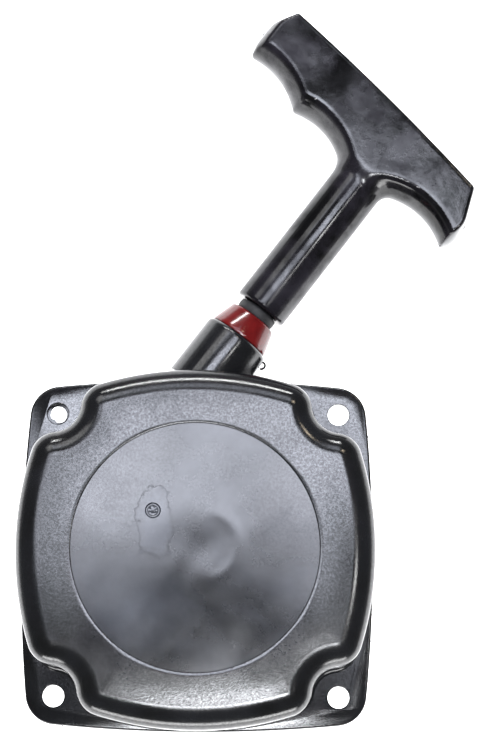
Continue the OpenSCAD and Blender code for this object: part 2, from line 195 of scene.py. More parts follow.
def combine(thing, other, operation="UNION"):
    """Boolean of two closed meshes, applied; the other one is used up."""
    step = thing.modifiers.new("boolean", "BOOLEAN")
    step.operation = operation
    step.object = other
    step.solver = "MANIFOLD"
    ready = thing.evaluated_get(bpy.context.evaluated_depsgraph_get())
    result = bpy.data.meshes.new_from_object(ready)
    thing.modifiers.clear()
    spent = thing.data
    thing.data = result
    bpy.data.meshes.remove(spent)
    bpy.data.objects.remove(other)
    return thing


def box_mesh(name, low, high):
    (x0, y0, z0), (x1, y1, z1) = low, high
    outline = np.array([[x0, y0], [x1, y0], [x1, y1], [x0, y1]], float)
    return skin(name, [at_height(outline, z0), at_height(outline, z1)])


def noise(p, seed):
    """Smooth pseudo-random values from -1 to 1 at points of any shape (..., 2 or 3)."""
    rng = np.random.default_rng(seed)
    total = 0
    for size in (1.0, 2.1, 4.3):
        for _ in range(4):
            way = rng.normal(size=p.shape[-1])
            way /= np.linalg.norm(way)
            total = total + np.sin(size * (p @ way) + rng.uniform(0, 2 * math.pi)) / size
    return total / 4


# ---- Surfaces from a field, for the handle ----

def surface_net(name, field, low, high, cell, sharp=40):
    """The surface where the field is zero (negative inside), as quads set exactly on it."""
    axes = [np.arange(low[k], high[k] + cell, cell) for k in range(3)]
    grid = np.stack(np.meshgrid(*axes, indexing="ij"), -1)
    inside = field(grid) < 0
    corners = sum(inside[i:i - 1 or None, j:j - 1 or None, k:k - 1 or None].astype(int)
                  for i in (0, 1) for j in (0, 1) for k in (0, 1))
    crossing = (corners > 0) & (corners < 8)
    index = np.full(crossing.shape, -1)
    index[crossing] = np.arange(crossing.sum())
    cells = np.argwhere(crossing)
    points = np.array(low) + (cells + 0.5) * cell
    for _ in range(8):
        value = field(points)
        h = 0.02
        slope = np.stack([(field(points + h * e) - field(points - h * e)) / (2 * h) for e in np.eye(3)], -1)
        step = value[:, None] * slope / np.maximum((slope ** 2).sum(-1, keepdims=True), 0.2)
        points = points - np.clip(step, -cell * 0.6, cell * 0.6)
    faces = []
    for axis in range(3):
        one, two = (axis + 1) % 3, (axis + 2) % 3
        here = [slice(None)] * 3
        there = [slice(None)] * 3
        here[axis], there[axis] = slice(None, -1), slice(1, None)
        first, second = inside[tuple(here)], inside[tuple(there)]
        for flip in (False, True):
            found = np.argwhere((first & ~second) if not flip else (~first & second))
            found = found[(found[:, one] > 0) & (found[:, two] > 0)]
            around = []
            for d_one, d_two in ((1, 1), (0, 1), (0, 0), (1, 0)):
                at = found.copy()
                at[:, one] -= d_one
                at[:, two] -= d_two
                around.append(index[tuple(at.T)])
            quads = np.stack(around, -1)
            if flip:
                quads = quads[:, ::-1]
            faces += [tuple(q) for q in quads.tolist()]
    return mesh_object(name, points, faces, sharp)


def smooth_max(a, b, k):
    h = np.maximum(k - np.abs(a - b), 0) / k
    return np.maximum(a, b) + h * h * k / 4


def smooth_min(a, b, k):
    return -smooth_max(-a, -b, k)


# ---- Materials ----

class Nodes:
    """Short names for building one material's node tree."""

    def __init__(self, name):
        self.material = bpy.data.materials.new(name)
        self.material.use_nodes = True
        self.tree = self.material.node_tree
        self.shader = self.tree.nodes["Principled BSDF"]
        self.where = self.tree.nodes.new("ShaderNodeTexCoord").outputs["Object"]

    def add(self, kind, **settings):
        node = self.tree.nodes.new("ShaderNode" + kind)
        for key, value in settings.items():
            if hasattr(node, key):
                setattr(node, key, value)
            else:
                node.inputs[key.replace("_", " ")].default_value = value
        return node

    def link(self, a, b):
        self.tree.links.new(a, b)

    def noise(self, scale, detail=3.0, roughness=0.5, distortion=0.0, stretch=None):
        """Noise with features 1/scale metres across; stretch scales the axes."""
        node = self.add("TexNoise", Scale=scale, Detail=detail, Roughness=roughness, Distortion=distortion)
        where = self.where
        if stretch:
            move = self.add("Mapping")
            move.inputs["Scale"].default_value = stretch
            self.link(where, move.inputs["Vector"])
            where = move.outputs["Vector"]
        self.link(where, node.inputs["Vector"])
        return node.outputs["Fac"]

    def ramp(self, value, *stops):
        """Maps a value through (position, colour or grey) stops."""
        node = self.add("ValToRGB")
        ends = node.color_ramp.elements
        while len(ends) < len(stops):
            ends.new(0.5)
        for end, (position, shade) in zip(ends, stops):
            end.position = position
            end.color = (*shade, 1) if isinstance(shade, tuple) else (shade, shade, shade, 1)
        self.link(value, node.inputs["Fac"])
        return node.outputs["Color"]

    def mix(self, a, b, amount):
        """Mixes two colours, each a socket or an RGB tuple, by a socket or a number."""
        node = self.add("Mix", data_type="RGBA")
        for slot, value in ((6, a), (7, b), (0, amount)):
            if isinstance(value, (tuple, float, int)):
                node.inputs[slot].default_value = (*value, 1) if isinstance(value, tuple) else value
            else:
                self.link(value, node.inputs[slot])
        return node.outputs[2]

    def math(self, operation, a, b=0.0):
        node = self.add("Math", operation=operation)
        for slot, value in enumerate((a, b)):
            if isinstance(value, (float, int)):
                node.inputs[slot].default_value = value
            else:
                self.link(value, node.inputs[slot])
        return node.outputs[0]

    def bump(self, height, distance, strength=1.0, after=None):
        node = self.add("Bump")
        node.inputs["Distance"].default_value = distance * MM
        node.inputs["Strength"].default_value = strength
        self.link(height, node.inputs["Height"])
        if after:
            self.link(after, node.inputs["Normal"])
        return node.outputs["Normal"]

    def reach(self, centre, half, wander):
        """Distance from a patch's centre as a share of its half sizes (mm), with a wandering edge."""
        apart = self.add("SeparateXYZ")
        self.link(self.where, apart.inputs[0])
        squares = []
        for k in (0, 1):
            offset = self.math("SUBTRACT", apart.outputs[k], centre[k] * MM)
            squares.append(self.math("POWER", self.math("DIVIDE", offset, half[k] * MM), 2.0))
        share = self.math("SQRT", self.math("ADD", *squares))
        drift = self.math("MULTIPLY", self.math("SUBTRACT", self.noise(150, 5, 0.6), 0.5), 2 * wander)
        return self.math("ADD", share, drift)

    def finish(self, colour=None, roughness=None, normal=None, **values):
        for socket, name in ((colour, "Base Color"), (roughness, "Roughness"), (normal, "Normal")):
            if socket is not None:
                self.link(socket, self.shader.inputs[name])
        for key, value in values.items():
            self.shader.inputs[key.replace("_", " ")].default_value = value
        return self.material


def cover_nylon():
    """Satin black nylon: sparkly grain round a smoother, cloudy disc, with a lighter patch on the disc's lower
    left that is partly milky bloom and partly painted reflected light.
    """
    n = Nodes("cover_nylon")
    apart = n.add("SeparateXYZ")
    n.link(n.where, apart.inputs[0])
    squares = [n.math("POWER", apart.outputs[k], 2.0) for k in (0, 1)]
    radius = n.math("SQRT", n.math("ADD", *squares))
    rim = RECESS_R / 100
    outside = n.ramp(n.math("MULTIPLY", radius, 10.0), (rim - 0.004, 0.0), (rim + 0.004, 1.0))
    ears = n.ramp(n.math("MULTIPLY", apart.outputs[2], 10.0), (0.05, 1.0), (0.07, 0.0))
    black = n.ramp(n.noise(60, 4, 0.5), (0.35, (0.006, 0.0062, 0.0065)), (0.65, (0.012, 0.0125, 0.0145)))
    haze_and_painted_light = n.ramp(n.noise(28, 5, 0.55, 0.3), (0.42, (0.008, 0.0083, 0.009)), (0.66, (0.03, 0.032, 0.04)))
    # Painted reflected light, partly real milky bloom: a lighter patch over the disc's lower left.
    bloom = n.ramp(n.reach((-20.0, -19.0), (24.0, 20.0), 0.25), (0.0, 1.0), (1.0, 0.0))
    haze_and_painted_light = n.mix(haze_and_painted_light, (0.075, 0.08, 0.095), bloom)
    stain = n.reach((-12.5, 7.0), (9.0, 19.0), 0.45)
    haze_and_painted_light = n.mix(haze_and_painted_light, (0.045, 0.05, 0.065), n.ramp(stain, (0.35, 0.6), (0.62, 0.0)))
    colour = n.mix(haze_and_painted_light, black, outside)
    stain_edge = n.ramp(stain, (0.56, 0.0), (0.6, 1.0), (0.64, 0.0))
    grain = n.noise(1500, 4, 0.7)
    patches = n.ramp(n.noise(40, 5, 0.55, 0.3), (0.35, 0.0), (0.65, 1.0))
    rough = n.math("ADD", n.math("MULTIPLY", patches, 0.08), 0.12)
    rough = n.math("SUBTRACT", rough, n.math("MULTIPLY", ears, 0.05))
    level = n.ramp(ears, (0.0, 1.0), (1.0, 0.3))
    waves = n.bump(n.math("MULTIPLY", n.noise(45, 1.5, 0.4), level), 0.06)
    depth = n.ramp(outside, (0.0, 0.35), (1.0, 1.0))
    normal = n.bump(n.math("MULTIPLY", grain, depth), 0.014, 1.0, after=waves)
    speckle = n.math("MULTIPLY", n.math("SUBTRACT", n.ramp(grain, (0.36, 0.0), (0.64, 1.0)), 0.5), depth)
    shine = n.math("ADD", n.math("MULTIPLY", speckle, 0.4), 0.6)
    shine = n.math("SUBTRACT", shine, n.math("MULTIPLY", stain_edge, 0.25))
    n.link(shine, n.shader.inputs["Specular IOR Level"])
    return n.finish(colour, rough, normal)


def handle_nylon():
    """Smoother black nylon with a mottled bloom."""
    n = Nodes("handle_nylon")
    bloom = n.ramp(n.noise(48, 6, 0.62, 0.5), (0.45, 0.0), (0.68, 1.0))
    colour = n.mix((0.004, 0.004, 0.0045), (0.02, 0.018, 0.024), bloom)
    patches = n.ramp(n.noise(75, 5, 0.6, 0.3), (0.35, 0.0), (0.65, 1.0))
    grain = n.noise(1500, 3, 0.7)
    rough = n.math("ADD", n.math("MULTIPLY", patches, 0.06), n.math("MULTIPLY", bloom, 0.1))
    rough = n.math("ADD", rough, 0.09)
    waves = n.bump(n.noise(60, 4), 0.1)
    normal = n.bump(grain, 0.008, 1.0, after=waves)
    cloud = n.ramp(n.noise(110, 6, 0.65, 0.4), (0.35, 0.2), (0.62, 0.62))
    shine = n.math("MULTIPLY", cloud, n.ramp(grain, (0.3, 0.8), (0.7, 1.0)))
    n.link(shine, n.shader.inputs["Specular IOR Level"])
    return n.finish(colour, rough, normal)


def red_plastic():
    """Glossy red plastic, a little uneven from moulding."""
    n = Nodes("red_plastic")
    clouds = n.noise(260, 4, 0.6, 0.4)
    colour = n.ramp(clouds, (0.3, (0.1, 0.004, 0.005)), (0.75, (0.17, 0.009, 0.009)))
    rough = n.math("ADD", n.math("MULTIPLY", n.noise(500, 3), 0.14), 0.1)
    normal = n.bump(n.noise(220, 2), 0.04)
    return n.finish(colour, rough, normal, Coat_Weight=0.3, Coat_Roughness=0.08)


def matte_rubber():
    n = Nodes("matte_rubber")
    colour = n.ramp(n.noise(300, 4, 0.6), (0.3, (0.012, 0.012, 0.013)), (0.7, (0.028, 0.028, 0.03)))
    rough = n.math("ADD", n.math("MULTIPLY", n.noise(900, 3), 0.2), 0.5)
    return n.finish(colour, rough, n.bump(n.noise(1500, 3), 0.03))


def inner_nylon():
    """Plain moulded black nylon of the pieces inside."""
    n = Nodes("inner_nylon")
    colour = n.ramp(n.noise(130, 4, 0.6), (0.3, (0.016, 0.016, 0.018)), (0.7, (0.035, 0.035, 0.04)))
    rough = n.math("ADD", n.math("MULTIPLY", n.noise(700, 3), 0.2), 0.3)
    return n.finish(colour, rough, n.bump(n.noise(1400, 3), 0.03))


def metal(name, dark, light, rough, stretch):
    """Metal with fine marks along one direction and stains in its shine."""
    n = Nodes(name)
    marks = n.noise(900, 3, 0.6, stretch=stretch)
    stains = n.noise(160, 4, 0.6, 0.6)
    colour = n.ramp(stains, (0.3, dark), (0.7, light))
    shine = n.math("ADD", n.math("MULTIPLY", marks, 0.2), n.math("MULTIPLY", stains, 0.2))
    shine = n.math("ADD", shine, rough - 0.2)
    return n.finish(colour, shine, n.bump(marks, 0.02), Metallic=1.0)


def rope_fibre():
    """Off-white polyester with fine fibres."""
    n = Nodes("rope_fibre")
    fibres = n.noise(2600, 3, 0.6)
    soiling = n.math("MULTIPLY", n.noise(300, 3), 0.5)
    shade = n.math("ADD", n.math("MULTIPLY", fibres, 0.5), soiling)
    colour = n.ramp(shade, (0.3, (0.5, 0.47, 0.4)), (0.65, (0.75, 0.72, 0.65)))
    rough = n.math("ADD", n.math("MULTIPLY", fibres, 0.2), 0.65)
    return n.finish(colour, rough, n.bump(fibres, 0.06), Sheen_Weight=0.3)


def paint(thing, material):
    thing.data.materials.clear()
    thing.data.materials.append(material)


NYLON = cover_nylon()
HANDLE = handle_nylon()
RED = red_plastic()
RUBBER = matte_rubber()
INNER = inner_nylon()
STEEL = metal("zinc_steel", (0.42, 0.42, 0.41), (0.6, 0.6, 0.58), 0.35, (1, 1, 6))
SPRING_STEEL = metal("blued_steel", (0.12, 0.13, 0.16), (0.28, 0.3, 0.36), 0.3, (1, 1, 12))
RATCHET_STEEL = metal("hardened_steel", (0.2, 0.19, 0.18), (0.42, 0.41, 0.4), 0.38, (3, 3, 1))
BRASS = metal("turned_brass", (0.5, 0.34, 0.13), (0.72, 0.53, 0.25), 0.25, (1, 1, 14))
ROPE = rope_fibre()


# ---- The cover ----

def meet(a, ra, b, rb):
    """The point at distance ra from a and rb from b, on the right of the way from a to b."""
    d = np.linalg.norm(b - a)
    x = (d * d + ra * ra - rb * rb) / (2 * d)
    u = (b - a) / d
    return a + x * u + math.sqrt(ra * ra - x * x) * np.array([u[1], -u[0]])


SIDE_CENTRE = np.array([DOME_HALF - DOME_SIDE_R, 0.0])
NOTCH_CENTRE = np.array([HOLE_AT, HOLE_AT])
CORNER_CENTRE = meet(SIDE_CENTRE, DOME_SIDE_R - DOME_CORNER_R, NOTCH_CENTRE, NOTCH_R + DOME_CORNER_R)
SIDE_STEPS, CORNER_STEPS, NOTCH_STEPS = 40, 16, 16


def angle(v):
    return math.atan2(v[1], v[0])


def dome_loop(inset):
    """The dome's outline moved inwards, always with the same points in the same order.

    inset may be an array with one value per point."""
    side_end = angle(CORNER_CENTRE - SIDE_CENTRE)
    corner_end = angle(NOTCH_CENTRE - CORNER_CENTRE)
    notch_from = corner_end + math.pi
    centres, radii, signs, angles, kinds = [], [], [], [], []

    def add(centre, radius, sign, start, end, steps, kind):
        for t in np.arange(steps) / steps:
            centres.append(centre)
            radii.append(radius)
            signs.append(sign)
            angles.append(start + (end - start) * t)
            kinds.append(kind + t)

    mirror = CORNER_CENTRE[::-1]
    add(SIDE_CENTRE, DOME_SIDE_R, -1, -side_end, side_end, SIDE_STEPS, 0)
    add(CORNER_CENTRE, DOME_CORNER_R, -1, side_end, corner_end, CORNER_STEPS, 1)
    notch_to = math.pi * 2.5 - notch_from
    add(NOTCH_CENTRE, NOTCH_R, 1, notch_from, notch_to, NOTCH_STEPS, 2)
    add(mirror, DOME_CORNER_R, -1, math.pi / 2 - corner_end, math.pi / 2 - side_end, CORNER_STEPS, 3)
    centres, radii, signs, angles = map(np.array, (centres, radii, signs, angles))
    quarter = len(radii)
    inset = np.broadcast_to(inset, (4 * quarter,)).reshape(4, quarter)
    out = []
    for k in range(4):
        r = radii + signs * inset[k]
        p = centres + r[:, None] * np.column_stack([np.cos(angles), np.sin(angles)])
        c, s = math.cos(k * math.pi / 2), math.sin(k * math.pi / 2)
        out.append(p @ np.array([[c, s], [-s, c]]))
    return np.vstack(out), np.tile(kinds, 4)


def dome_outside():
    """The dome with its rounded front edge, slightly crowned face and round recess."""
    _, kinds = dome_loop(0.0)
    across, down = 8.0, 5.6
    foot = np.interp(kinds, [0, 1, 2, 3, 4], [0, 0.0, 1, 1, 0.0]) * 1.8
    loops = [at_height(dome_loop(0.6)[0], FLANGE_T - 2.5), at_height(dome_loop(-foot)[0], FLANGE_T - 0.3)]
    for a in np.linspace(0, math.pi / 2, 6)[1:]:
        rise = foot * (1 - math.cos(a))
        outline = dome_loop(-foot * (1 - math.sin(a)))[0]
        loops.append(np.column_stack([outline, FLANGE_T + rise]))
    rim = dome_loop(across * (1 - math.cos(FILLET_END)))[0]
    rim_drop = face_drop(rim, rim)
    edge_z = DOME_H - rim_drop - down * math.sin(FILLET_END)
    loops.append(at_height(dome_loop(0.0)[0], FLANGE_T + 4))
    loops.append(np.column_stack([dome_loop(0.0)[0], edge_z]))
    for t in np.linspace(0, FILLET_END, 19)[1:]:
        outline = dome_loop(across * (1 - math.cos(t)))[0]
        loops.append(np.column_stack([outline, edge_z + down * math.sin(t)]))
    bearing = np.arctan2(rim[:, 1], rim[:, 0])
    ray = np.column_stack([np.cos(bearing), np.sin(bearing)])
    far = np.linalg.norm(rim, axis=1)
    recess_top = RECESS_R + 0.25
    for t in np.linspace(0, 1, 15)[1:] ** 1.4:
        ring = ray * (far + (recess_top - far) * t)[:, None]
        loops.append(np.column_stack([ring, DOME_H - face_drop(ring, rim)]))
    for r, depth in ((RECESS_R + 0.08, 0.06), (RECESS_R, 0.2), (RECESS_R, RECESS_DEPTH - 0.08),
                     (RECESS_R - 0.1, RECESS_DEPTH)):
        loops.append(np.column_stack([ray * r, DOME_H - face_drop(ray * r, rim) - depth]))
    for r in np.linspace(RECESS_R - 0.5, 1.0, 34):
        ring = ray * r
        level = DOME_H - face_drop(ring, rim) - RECESS_DEPTH
        loops.append(np.column_stack([ring, level + face_relief(ring)]))
    return skin("housing_body", loops, sharp=38)


def face_drop(points, rim):
    """How far the face lies below its middle: a shallow crown that steepens towards the rim."""
    step = np.linalg.norm(np.roll(rim, -1, 0) - rim, axis=1)
    reach, spread = 4.0, 2.0

    def closeness(where):
        apart = np.linalg.norm(where[:, None] - rim[None], axis=-1)
        return (np.exp(-apart / spread) * step).sum(-1)

    near = (closeness(points) / closeness(rim)) ** (spread / reach)
    return EDGE_DROP * near + (points ** 2).sum(-1) / (2 * FACE_CROWN_R)


def face_relief(points):
    """Shallow sinks and bulges of the moulded disc, in millimetres."""
    x, y = points[:, 0], points[:, 1]
    fade = np.clip((RECESS_R - np.hypot(x, y)) / 6, 0, 1)
    sink = -0.14 * np.exp(-((x - 3) ** 2 + (y - 0.5) ** 2) / 60)
    lip = 0.07 * np.exp(-((np.hypot(x - 3, y - 0.5) - 10.5) / 1.8) ** 2) * np.clip((x - 3) / 8, 0, 1)
    wave = 0.045 * noise(points[:, :2] / 7, 4)
    return fade * (sink + lip + wave)


def flange():
    """The flange plate with a slightly bulged outline, round corners and eased top edge."""
    side_r, corner_r = FLANGE_SIDE_R, 10.0
    ease = 0.7
    droop_from, droop = 70, 0.02
    back = side_r - COVER_HALF
    reach = side_r - corner_r
    c = (math.sqrt(2 * reach * reach - back * back) - back) / 2

    def outline(inset):
        side_end = math.atan2(c, c + back)
        pts = []
        for a in np.linspace(-side_end, side_end, 24):
            pts.append([-back + (side_r - inset) * math.cos(a), (side_r - inset) * math.sin(a)])
        for a in np.linspace(side_end, math.pi / 2 - side_end, 14)[1:-1]:
            pts.append([c + (corner_r - inset) * math.cos(a), c + (corner_r - inset) * math.sin(a)])
        pts = np.array(pts)
        out = []
        for k in range(4):
            co, si = math.cos(k * math.pi / 2), math.sin(k * math.pi / 2)
            out.append(pts @ np.array([[co, si], [-si, co]]))
        return np.vstack(out)

    loops = [at_height(outline(0.3), 0.0), at_height(outline(0.0), 0.3)]
    for a in np.linspace(0, math.pi / 2, 5):
        loops.append(at_height(outline(ease * (1 - math.cos(a))), FLANGE_T - ease + ease * math.sin(a)))
    for loop in loops:
        beyond = np.clip(np.hypot(loop[:, 0], loop[:, 1]) - droop_from, 0, None)
        loop[:, 2] -= droop * beyond ** 2 * (loop[:, 2] > 1)
    return skin("flange", loops)


def neck():
    """The rope's neck: round above, straight-sided below, with a rounded mouth."""
    root = MOUTH_S - NECK_OUT - 9
    lift = 1.5
    mouth_ease = 1.6

    def section(inset):
        r = NECK_R - inset
        arch = [[r * math.cos(a), r * math.sin(a)] for a in np.linspace(0, math.pi, 33)]
        low = lift + inset - ROPE_Z
        corner = 1.5
        legs = [[-r, low + corner], [-r + 0.45, low + 0.45], [-r + corner, low],
                [r - corner, low], [r - 0.45, low + 0.45], [r, low + corner]]
        return np.array(arch + legs)

    loops = [at_height(section(0.0), root), at_height(section(0.0), MOUTH_S - mouth_ease)]
    for a in np.linspace(0, math.pi / 2, 6)[1:]:
        s = MOUTH_S - mouth_ease + mouth_ease * math.sin(a)
        loops.append(at_height(section(mouth_ease * (1 - math.cos(a))), s))
    thing = skin("neck", loops)
    return place(thing, along_rope())


def cut_rope_way(body):
    """Cuts the rope's way through the neck, the slot below it and the guide ring's seat."""
    seat_s = MOUTH_S - RING_SEAT_LEN
    way = lathe("way", [(ROPE_WAY_R, ROPE_START_S - 4), (ROPE_WAY_R, seat_s)], 48, closed=False)
    combine(body, place(way, along_rope()), "DIFFERENCE")
    low = (-ROPE_WAY_R, -ROPE_Z - 1, MOUTH_S - NECK_OUT - 10)
    trough = box_mesh("trough", low, (ROPE_WAY_R, 0, seat_s))
    combine(body, place(trough, along_rope()), "DIFFERENCE")
    bore = lathe("bore", [(RING_SEAT_R, seat_s - 0.1), (RING_SEAT_R, MOUTH_S + 1)], 64, closed=False)
    combine(body, place(bore, along_rope()), "DIFFERENCE")


def cut_mounting_holes(body):
    """Cuts the four mounting holes, each with an eased upper edge."""
    profile = [(HOLE_R + 0.1, -1), (HOLE_R, 0.6), (HOLE_R, FLANGE_T - 0.35),
               (HOLE_R + 0.45, FLANGE_T + 0.1), (HOLE_R + 0.5, FLANGE_T + 0.6)]
    for x in (-HOLE_AT, HOLE_AT):
        for y in (-HOLE_AT, HOLE_AT):
            hole = lathe("hole", profile, 64, closed=False)
            combine(body, place(hole, Matrix.Translation((x * MM, y * MM, 0))), "DIFFERENCE")


def hole_flash():
    """A ragged skin of flash round the inside of the upper left hole."""
    count = 64
    loops = [at_height(circle(HOLE_R + 0.4, count), z) for z in (0.25, 0.75)]
    turn = np.arange(count) * 2 * math.pi / count
    ragged = 2.72 + 0.16 * noise(np.column_stack([3 * np.cos(turn), 3 * np.sin(turn)]), 8)
    tongue = np.exp(-((turn - math.radians(235)) / 0.3) ** 2)
    ragged = ragged - 0.55 * tongue
    inner = np.column_stack([ragged * np.cos(turn), ragged * np.sin(turn)])
    loops += [at_height(inner, z) for z in (0.65, 0.35)]
    flash = skin("hole_flash", loops, closed=True)
    return place(flash, Matrix.Translation((-HOLE_AT * MM, HOLE_AT * MM, 0)))


def nick():
    """A short cut in the face by the upper right notch."""
    cut = box_mesh("nick", (-1.1, -0.18, -0.5), (1.1, 0.18, 1.0))
    spot = Matrix.Translation((35.6 * MM, 36.4 * MM, (DOME_H - 0.2) * MM))
    return place(cut, spot @ Matrix.Rotation(math.radians(62), 4, "Z"))


def housing_piece():
    body = combine(dome_outside(), flange())
    combine(body, neck())
    levels = ((0, -1.0), (0, CEILING - 2), (0.6, CEILING - 0.6), (2, CEILING))
    cavity = skin("cavity", [at_height(dome_loop(WALL + inset)[0], z) for inset, z in levels])
    combine(body, cavity, "DIFFERENCE")
    wall_r = REEL_WALL_IN_R + 2
    bottom = 11.8
    top = CEILING + 0.5
    ring = [(REEL_WALL_IN_R, bottom), (wall_r, bottom), (wall_r, top), (REEL_WALL_IN_R, top)]
    combine(body, lathe("reel_wall", ring, 128))
    rib_ends = ((DOME_HALF - WALL + 0.3, CEILING - 1.2), (DOME_HALF - WALL - 3, CEILING + 0.3))
    for a in (0, 45, 180, 225, 270, 315):
        for far, rib_top in rib_ends:
            rib = box_mesh("rib", (REEL_WALL_IN_R + 1, -1, bottom - 1), (far, 1, rib_top))
            combine(body, place(rib, Matrix.Rotation(math.radians(a), 4, "Z")))
    post_r, insert_r, insert_len = 6.0, 3.9, 9.5
    combine(body, lathe("post", [(post_r, POST_END_Z), (post_r, top)], 64, closed=False))
    cut_rope_way(body)
    insert = [(insert_r, POST_END_Z - 1), (insert_r, POST_END_Z + insert_len)]
    combine(body, lathe("insert_hole", insert, 48, closed=False), "DIFFERENCE")
    cut_mounting_holes(body)
    gate_detail(body)
    combine(body, hole_flash())
    combine(body, nibs())
    combine(body, neck_flash())
    combine(body, nick(), "DIFFERENCE")
    body.name = "housing_body"
    smooth(body, 32)
    return body


def gate_detail(body):
    """The moulding gate's dimple with the torn sprue's stub in it."""
    at = Matrix.Translation((-0.34 * RECESS_R * MM, 0.29 * RECESS_R * MM, 0))
    floor_z = DOME_H - RECESS_DEPTH
    cut = lathe("gate_cut", [(2.1, floor_z - 0.75), (2.4, floor_z - 0.55), (2.45, floor_z - 0.12),
                             (2.75, floor_z + 0.1), (2.75, floor_z + 0.6)], 48, closed=False)
    combine(body, place(cut, at), "DIFFERENCE")
    rough = noise(circle(3, 32), 3)
    stub = ((1.75, -1), (1.72, -0.25), (1.5, -0.12), (0.9, -0.16), (0.4, -0.1))
    loops = []
    for r, rise in stub:
        z = floor_z + rise
        loop = at_height(circle(r, 32), z)
        loop[:, 2] += 0.07 * rough * (z > floor_z - 0.5)
        loops.append(loop)
    combine(body, place(skin("gate_stub", loops), at))


def nibs():
    """Small crumbs of flash left on the flange's edge."""
    rng = np.random.default_rng(12)

    def edge(along):
        """Distance of the bulged edge from the middle line, just inside it."""
        return COVER_HALF - along ** 2 / (2 * FLANGE_SIDE_R) - 0.05

    spots = [(edge(y), y) for y in (38.9, 32.6, 19.9, -17.6, -19.2, -27.8, -40.5)]
    spots += [(30.7, edge(30.7)), (-43, -edge(43))]
    points, faces = [], []
    for x, y in spots:
        sizes = rng.uniform(0.3, 0.55, 3)
        base = len(points)
        grow = [(0, 0, 1), (1, 0, 0), (0, 1, 0), (-1, 0, 0), (0, -1, 0), (0, 0, -1)]
        points += [np.array([x, y, 3.0]) + np.array(g) * sizes for g in grow]
        for a, b in ((1, 2), (2, 3), (3, 4), (4, 1)):
            faces += [(base, base + a, base + b), (base + 5, base + b, base + a)]
    return mesh_object("nibs", points, faces)


def neck_flash():
    """A thin loop of flash at the foot of the neck's mouth, on the side of the right-hand ear."""
    turn = np.linspace(-1.9, 1.9, 15)
    middle, bend_r = (20.6, 60.7), 1.2
    bend = np.column_stack([middle[0] + bend_r * np.cos(turn), middle[1] + bend_r * np.sin(turn)])
    return tube_along("neck_flash", at_height(bend, 14.0), 0.35, 8)


# ---- The handle ----

def handle_field(p):
    """Negative inside the handle. p is (along the rope, left, up) from the rope's foot."""
    u, v, z = p[..., 0], p[..., 1], p[..., 2]
    slant = math.radians(8.5)
    x = (u - GRIP_S) * math.cos(slant) - v * math.sin(slant)
    y = (u - GRIP_S) * math.sin(slant) + v * math.cos(slant)

    def side(depth, radius):
        """A bulged side of the grip: an arc over its whole thickness; depth grows inwards."""
        return np.hypot(np.maximum(radius - depth, 0), z) - radius

    # The finger hollows: centre and radius of each
    hollows = [((-24.1, 21.0), 23.0), ((-25.0, 46.0), 26.0), ((-21.9, -22.8), 24.0)]
    finger = x + 6
    for (cx, cy), r in hollows:
        finger = smooth_min(finger, np.hypot(x - cx, y - cy) - r, 0.8)
    grip = side(finger, GRIP_FINGER_R)
    outer = 21.6 - 1.2 * ((y - 9) / 45) ** 2 - x
    grip = smooth_max(grip, side(outer, GRIP_BACK_R), 0.8)
    # Each facet of the grip's two ends: its outward direction, its distance and its bulge's radius
    left_end = [(0.3695, 0.929, 57.24, 30.0), (-0.153, 0.988, 54.8, 17.0), (-0.494, 0.869, 47.25, 15.0)]
    right_end = [(0.505, -0.863, 35.5, 80.0), (0.105, -0.994, 36.4, 80.0), (-0.346, -0.938, 32.6, 40.0)]
    for nx, ny, c, bulge in left_end + right_end:
        grip = smooth_max(grip, side(c - nx * x - ny * y, bulge), 0.8)
    r = np.hypot(v, z)
    ease = 1.1
    a, b = r - SHAFT_R + ease, SHAFT_S - u + ease
    shaft = np.hypot(np.maximum(a, 0), np.maximum(b, 0)) + np.minimum(np.maximum(a, b), 0) - ease
    shaft = np.maximum(shaft, u - GRIP_S - 6)
    body = smooth_min(grip, shaft, 3.0)
    body = smooth_max(body, np.abs(z) - GRIP_HALF_T, 0.9)
    nubs = [((7.9, 56.6), 0.8), ((9.5, -34.8), 0.85)]
    for (cx, cy), size in nubs:
        nub = np.sqrt((x - cx) ** 2 + (y - cy) ** 2 + z ** 2) - size
        body = smooth_min(body, nub, 0.8)
    collar_seat = (5.25, SHAFT_S - 5, SHAFT_S + 6.2)
    rope_hole = (2.25, SHAFT_S, KNOT_S)
    knot_room = (4.25, GRIP_S + 5, GRIP_S + 40)
    for radius, start, stop in (collar_seat, rope_hole, knot_room):
        hole = np.maximum(r - radius, np.maximum(start - u, u - stop))
        body = smooth_max(body, -hole, 0.5)
    return body


def handle_piece():
    cell = 0.55
    low = (SHAFT_S - 2, -40.0, -GRIP_HALF_T - 1.0)
    high = (GRIP_S + 32.0, 60.0, GRIP_HALF_T + 1.0)
    thing = surface_net("handle_body", handle_field, low, high, cell)
    turn = Matrix((ROPE_AXIS, ROPE_LEFT, np.array([0, 0, 1.0]))).transposed().to_4x4()
    return place(thing, Matrix.Translation(Vector(ROPE_FOOT * MM)) @ turn)


# ---- Small pieces on the rope ----

def guide_ring_piece():
    bore = ROPE_R + 0.65
    inner_end = [(bore, -5.5), (bore + 3, -8.5), (RING_SEAT_R, -8.5), (RING_SEAT_R, 0.0)]
    cone = [(10.2, 0.0), (10.2, 0.9), (8.1, RING_H), (bore + 1.9, RING_H), (bore, RING_H - 2.2)]
    return place(lathe("guide_ring", rounded(inner_end + cone, 0.7), 96), along_rope(MOUTH_S))


def bumper_piece():
    bore = ROPE_R + 0.5
    top, out = BUMPER_H, 6.75
    collar = [(bore, -top), (out - 0.3, -top), (out, -top / 2), (out - 0.2, -0.3)]
    stem = [(5.15, -0.05), (5.15, 5), (bore, 5)]
    return place(lathe("bumper", rounded(collar + stem, 0.5), 72), along_rope(SHAFT_S))


